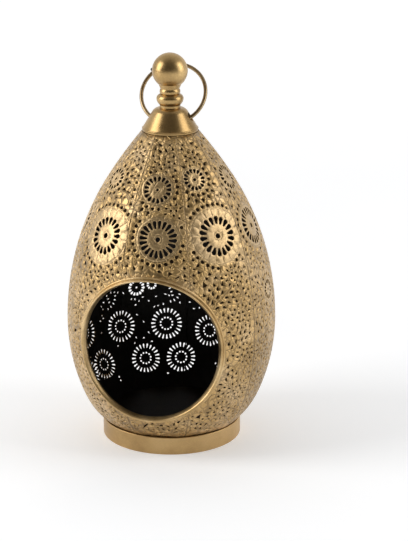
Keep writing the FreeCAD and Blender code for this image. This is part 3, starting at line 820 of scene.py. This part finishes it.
def leaf_relief(tree, where):
    """Height of the hammered leaf pattern: cells parted by creases, 1 on top and 0 in a crease."""
    cells = tree.nodes.new("ShaderNodeTexVoronoi")
    cells.feature = "DISTANCE_TO_EDGE"
    cells.inputs["Scale"].default_value = 150
    tree.links.new(bent(tree, where, 110, 0.009), cells.inputs["Vector"])
    rounded = spread(tree, cells.outputs["Distance"], 0.0, 0.16, 0.0, 1.0)
    scroll = tree.nodes.new("ShaderNodeTexWave")
    scroll.wave_type = "BANDS"
    scroll.bands_direction = "DIAGONAL"
    scroll.inputs["Scale"].default_value = 34
    scroll.inputs["Distortion"].default_value = 9
    scroll.inputs["Detail"].default_value = 0.6
    scroll.inputs["Detail Scale"].default_value = 1.2
    tree.links.new(bent(tree, where, 55, 0.012), scroll.inputs["Vector"])
    lines = spread(tree, scroll.outputs["Fac"], 0.0, 0.12, 0.0, 1.0)
    return math_node(tree, "MULTIPLY", rounded, lines)


def gold(name, dark, middle, light, rough=(0.34, 0.5), metal=0.92, adds_patina_and_highlights=False, grain=(1, 1, 1)):
    """Clouded gold; for the pierced sheet it adds dark patina in the creases, grooves and seams, a painted
    highlight on the plain discs, a painted highlight along the edges of the through holes, and lacquer.
    """
    material, tree, shader, where = new_material(name)
    cloud = noise(tree, where, 22, 5, 0.6)
    speck = noise(tree, where, 520, 3, 0.6, grain)
    color = ramp(tree, cloud, (0.32, dark), (0.52, middle), (0.7, light))
    shade = spread(tree, speck, 0.3, 0.7, 0.86, 1.08)
    color = blend(tree, "MULTIPLY", 1.0, color, shade)
    layers = [(cloud, 0.25, 0.0008), (speck, 0.18, 0.00012)]
    if adds_patina_and_highlights:
        calm = math_node(tree, "MULTIPLY", attribute(tree, "plain"), PLAIN_CALM)
        relief = math_node(tree, "MAXIMUM", leaf_relief(tree, where), calm)
        crease = tuple(c * 0.2 for c in dark)
        color = blend(tree, "MIX", spread(tree, relief, 0.0, 0.7, 0.48, 0.0), color, crease)
        # The plain discs are mixed towards a pale gold: a painted highlight.
        disc_highlight = spread(tree, attribute(tree, "plain"), 0.0, 1.0, 0.0, DISC_HIGHLIGHT_SHARE)
        color = blend(tree, "MIX", disc_highlight, color, PAINTED_DISC_HIGHLIGHT)
        # Grooves and seams darkened by patina; the edges of the through holes lightened, a painted
        # highlight.
        patina_highlight_mask = attribute(tree, "groove_patina_hole_highlight")
        color = blend(tree, "MIX", spread(tree, patina_highlight_mask, 0.5, 0.0, 0.0, 0.6), color, crease)
        color = blend(tree, "MIX", spread(tree, patina_highlight_mask, 0.5, 1.0, 0.0, 0.35), color, light)
        layers.append((relief, 0.75, 0.0007))
        shader.inputs["Coat Weight"].default_value = LACQUER
        shader.inputs["Coat Roughness"].default_value = LACQUER_ROUGHNESS
    tree.links.new(color, shader.inputs["Base Color"])
    shader.inputs["Metallic"].default_value = metal
    tree.links.new(spread(tree, cloud, 0.35, 0.65, *rough), shader.inputs["Roughness"])
    bump(tree, shader, layers)
    return material


def dull(name, dark, light, rough, metal, scale=60, specular=0.5):
    material, tree, shader, where = new_material(name)
    cloud = noise(tree, where, scale, 4, 0.6)
    fine = noise(tree, where, 900, 2, 0.5)
    tree.links.new(ramp(tree, cloud, (0.35, dark), (0.68, light)), shader.inputs["Base Color"])
    shader.inputs["Metallic"].default_value = metal
    shader.inputs["Specular IOR Level"].default_value = specular
    tree.links.new(spread(tree, fine, 0.3, 0.7, rough - 0.06, rough + 0.08), shader.inputs["Roughness"])
    bump(tree, shader, ((cloud, 0.2, 0.0006), (fine, 0.15, 0.0001)))
    return material


GOLD_TONES = ((0.40, 0.25, 0.088), (0.57, 0.372, 0.148), (0.72, 0.515, 0.275))
# Colour and share of the painted highlight on the plain discs.
PAINTED_DISC_HIGHLIGHT = (0.60, 0.45, 0.26)
PLAIN_CALM, DISC_HIGHLIGHT_SHARE = 0.66, 0.4
LACQUER, LACQUER_ROUGHNESS = 0.45, 0.42
# Each petal painted a little lighter or darker: painted light and shade, for petals that catch the lamps at
# different angles.
PETAL_SHADE_FACTORS = (1.0, 1.03, 0.95, 1.02, 0.93, 1.0, 0.96, 1.03, 0.98)
GOLD_SHEET = []
for index, petal_shade in enumerate(PETAL_SHADE_FACTORS):
    tones = [tuple(c * petal_shade for c in tone) for tone in GOLD_TONES]
    GOLD_SHEET.append(gold(f"antique_gold_{index + 1}", *tones, adds_patina_and_highlights=True))
BLACK_SHEET = dull("black_inside", (0.008, 0.006, 0.004), (0.022, 0.015, 0.009), 0.62, 0.0)
CUT_EDGE = dull("pierced_edge", (0.12, 0.072, 0.03), (0.26, 0.165, 0.075), 0.5, 0.7, specular=0.2)
SPUN = gold("spun_gold", (0.33, 0.21, 0.082), (0.44, 0.29, 0.122), (0.56, 0.385, 0.17), (0.27, 0.35), 0.96)
RIM_GOLD = gold("rim_gold", (0.38, 0.245, 0.10), (0.58, 0.395, 0.18), (0.76, 0.57, 0.31), (0.3, 0.42), 0.92)
WIRE = gold("ring_bronze", (0.22, 0.15, 0.08), (0.36, 0.26, 0.14), (0.5, 0.38, 0.22), (0.26, 0.4), 0.95)
FOOT = gold("foot_gold", (0.42, 0.27, 0.115), (0.55, 0.37, 0.165), (0.64, 0.44, 0.21), (0.36, 0.46), 0.92,
            grain=(1, 1, 8))
PIT_PAINT = dull("pit_paint", (0.012, 0.007, 0.003), (0.04, 0.024, 0.01), 0.8, 0.0, specular=0.08)
PLATE = dull("plate_black", (0.008, 0.005, 0.003), (0.022, 0.014, 0.007), 0.42, 0.0)
STEEL = dull("dark_steel", (0.03, 0.028, 0.026), (0.09, 0.085, 0.08), 0.42, 0.8)


# --- the pieces ---------------------------------------------------------------------------------

MIDDLE_S = s_at(OPENING_Z)
for place in range(PETALS):
    zones = ((("front_gore_upper", (MIDDLE_S, LENGTH)), ("front_gore_lower", (0.0, MIDDLE_S)))
             if place == 0 else ((f"shell_gore_{place + 1}", (0.0, LENGTH)),))
    for node, zone in zones:
        piece = build_petal(node + "_sheet", place, zone)
        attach(piece, "root")
        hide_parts(node)

RIM_STEPS = 220
RIM_CREST = 3.4            # points of the section above it ripple
RIM_SECTION = (
    # straight distance from the opening's middle, lift off the egg
    (75.0, -2.7), (75.0, -1.0), (75.0, 1.2), (75.0, 3.0), (75.25, 3.5), (75.7, 3.8), (76.2, 3.7),
    (76.55, 3.2), (76.75, 2.0), (77.1, 1.1), (77.6, 0.9), (78.0, 1.3), (78.5, 1.85), (79.1, 1.95),
    (79.7, 1.7), (80.1, 1.1), (80.35, 0.3), (80.4, -0.9), (78.0, -0.9), (76.9, -0.9), (76.8, -2.7),
)


def build_rim():
    """The opening's band and outer bead, swept round the compass circle on the egg."""
    rng = random.Random(5)
    waves = [(rng.uniform(0, 6.28), rng.choice((3, 4, 5, 7, 9)), rng.uniform(0.02, 0.06)) for _ in range(5)]
    co, polygons = [], []
    for i in range(RIM_STEPS):
        turn = 2 * math.pi * i / RIM_STEPS
        ripple = sum(a * math.sin(k * turn + p) for p, k, a in waves)
        for reach, lift in RIM_SECTION:
            azimuth, s = opening_spot(turn, reach)
            up = lift - (0.12 - ripple if lift > RIM_CREST else 0)
            co.append(on_egg(azimuth, s, up) * MM)
    n = len(RIM_SECTION)
    for i in range(RIM_STEPS):
        here, following = i * n, (i + 1) % RIM_STEPS * n
        for j in range(n):
            k = (j + 1) % n
            polygons.append((here + j, here + k, following + k, following + j))
    mesh = bpy.data.meshes.new("opening_rim_band")
    mesh.from_pydata(co, [], polygons)
    mesh.materials.append(RIM_GOLD)
    mesh.shade_smooth()
    piece = bpy.data.objects.new("opening_rim_band", mesh)
    bpy.context.scene.collection.objects.link(piece)
    return piece


rim = build_rim()
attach(rim, "root")
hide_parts("opening_rim")

CAD_LOOKS = (
    ("base_ring", FOOT), ("candle_plate", PLATE), ("top_collar", SPUN), ("bell_cap", SPUN),
    ("neck_bead", SPUN), ("ball_finial", SPUN), ("finial_stud", STEEL), ("stud_washer", STEEL),
    ("stud_nut", STEEL), ("ring_handle", WIRE), ("ring_pin", STEEL),
)
for node, material in CAD_LOOKS:
    mesh = nodes[node].data
    mesh.materials.clear()
    mesh.materials.append(material)
    for polygon in mesh.polygons:
        polygon.material_index = 0


# --- stage, light and camera --------------------------------------------------------------------

FLOOR_HALF = 6.0
FLOOR_TONES = ((0.3, (0.85, 0.86, 0.875)), (0.7, (0.87, 0.88, 0.895)))
# What the floor's own light adds to the lamps' at a distance from the lantern, to reach white.
FLOOR_GLOW = ((0.0, 0.24), (0.35, 0.27), (0.5, 0.31), (0.78, 0.36), (1.14, 0.42), (1.62, 0.51),
              (2.3, 0.59), (3.07, 0.63), (6.0, 0.7))
# The room's light from behind the lantern to the camera's side.
ROOM = ((0.0, (1.0, 1.0, 1.0)), (0.45, (0.55, 0.55, 0.55)), (0.72, (0.155, 0.142, 0.125)),
        (1.0, (0.05, 0.044, 0.036)))


def make_floor():
    """A pale floor that takes the lantern's shadow and turns white with distance."""
    mesh = bpy.data.meshes.new("floor")
    size = FLOOR_HALF
    mesh.from_pydata([(-size, -size, 0), (size, -size, 0), (size, size, 0), (-size, size, 0)],
                     [], [(0, 1, 2, 3)])
    material, tree, shader, where = new_material("pale_floor")
    cloud = noise(tree, where, 3, 2)
    tree.links.new(ramp(tree, cloud, *FLOOR_TONES), shader.inputs["Base Color"])
    shader.inputs["Roughness"].default_value = 0.9
    shader.inputs["Specular IOR Level"].default_value = 0.0
    glow = tree.nodes.new("ShaderNodeEmission")
    path = tree.nodes.new("ShaderNodeLightPath")
    away = tree.nodes.new("ShaderNodeVectorMath")
    away.operation = "LENGTH"
    tree.links.new(where, away.inputs[0])
    share = spread(tree, away.outputs["Value"], 0, size, 0, 1)
    level = ramp(tree, share, *((distance / size, (value,) * 3) for distance, value in FLOOR_GLOW))
    seen = math_node(tree, "MAXIMUM", path.outputs["Is Camera Ray"], path.outputs["Is Glossy Ray"])
    tree.links.new(math_node(tree, "MULTIPLY", level, seen), glow.inputs["Strength"])
    add = tree.nodes.new("ShaderNodeAddShader")
    output = next(n for n in tree.nodes if n.type == "OUTPUT_MATERIAL")
    tree.links.new(shader.outputs[0], add.inputs[0])
    tree.links.new(glow.outputs[0], add.inputs[1])
    tree.links.new(add.outputs[0], output.inputs[0])
    mesh.materials.append(material)
    floor = bpy.data.objects.new("floor", mesh)
    bpy.context.scene.collection.objects.link(floor)


AIM = Vector((0, 0, 0.22))
LAMP_DISTANCE, LAMP_HEIGHT = 1.5, 0.95
LAMP_WIDTH, LAMP_TALL = 0.9, 1.3
LAMP_TURN = 80             # degrees to each side of the camera


def soft_box(name, turn, power):
    """A rectangular lamp at an angle from the camera's side of the lantern, turned to it."""
    angle = math.radians(VIEW_TURN + turn)
    lamp = bpy.data.lights.new(name, "AREA")
    lamp.shape = "RECTANGLE"
    lamp.size = LAMP_WIDTH
    lamp.size_y = LAMP_TALL
    lamp.energy = power
    spot = bpy.data.objects.new(name, lamp)
    spot.location = (LAMP_DISTANCE * math.sin(angle), -LAMP_DISTANCE * math.cos(angle), LAMP_HEIGHT)
    spot.rotation_euler = (AIM - spot.location).to_track_quat("-Z", "Y").to_euler()
    bpy.context.scene.collection.objects.link(spot)


def make_world():
    """White to the camera; a plain pale studio, dark on the camera's side, to everything else."""
    world = bpy.data.worlds.new("studio")
    bpy.context.scene.world = world
    world.use_nodes = True
    tree = world.node_tree
    tree.nodes.clear()
    output = tree.nodes.new("ShaderNodeOutputWorld")
    background = tree.nodes.new("ShaderNodeBackground")
    tree.links.new(background.outputs[0], output.inputs[0])
    coords = tree.nodes.new("ShaderNodeTexCoord")
    facing = tree.nodes.new("ShaderNodeVectorMath")
    facing.operation = "DOT_PRODUCT"
    angle = math.radians(VIEW_TURN)
    facing.inputs[1].default_value = (math.sin(angle), -math.cos(angle), 0)
    tree.links.new(coords.outputs["Generated"], facing.inputs[0])
    room = ramp(tree, spread(tree, facing.outputs["Value"], -1, 1, 0, 1), *ROOM)
    path = tree.nodes.new("ShaderNodeLightPath")
    color = blend(tree, "MIX", path.outputs["Is Camera Ray"], room, (1.0, 1.0, 1.0))
    tree.links.new(color, background.inputs["Color"])
    background.inputs["Strength"].default_value = 1.0


make_floor()
make_world()
soft_box("left_box", -LAMP_TURN, 17)
soft_box("right_box", LAMP_TURN, 11.5)

camera = bpy.data.cameras.new("camera")
camera.lens = 115.25
camera.sensor_width = 36
eye = bpy.data.objects.new("camera", camera)
eye.location = (0.4052, -1.6890, 0.7083)
eye.rotation_euler = (math.radians(73), 0, math.radians(VIEW_TURN))
bpy.context.scene.collection.objects.link(eye)
bpy.context.scene.camera = eye
bpy.context.scene.view_settings.view_transform = "Standard"
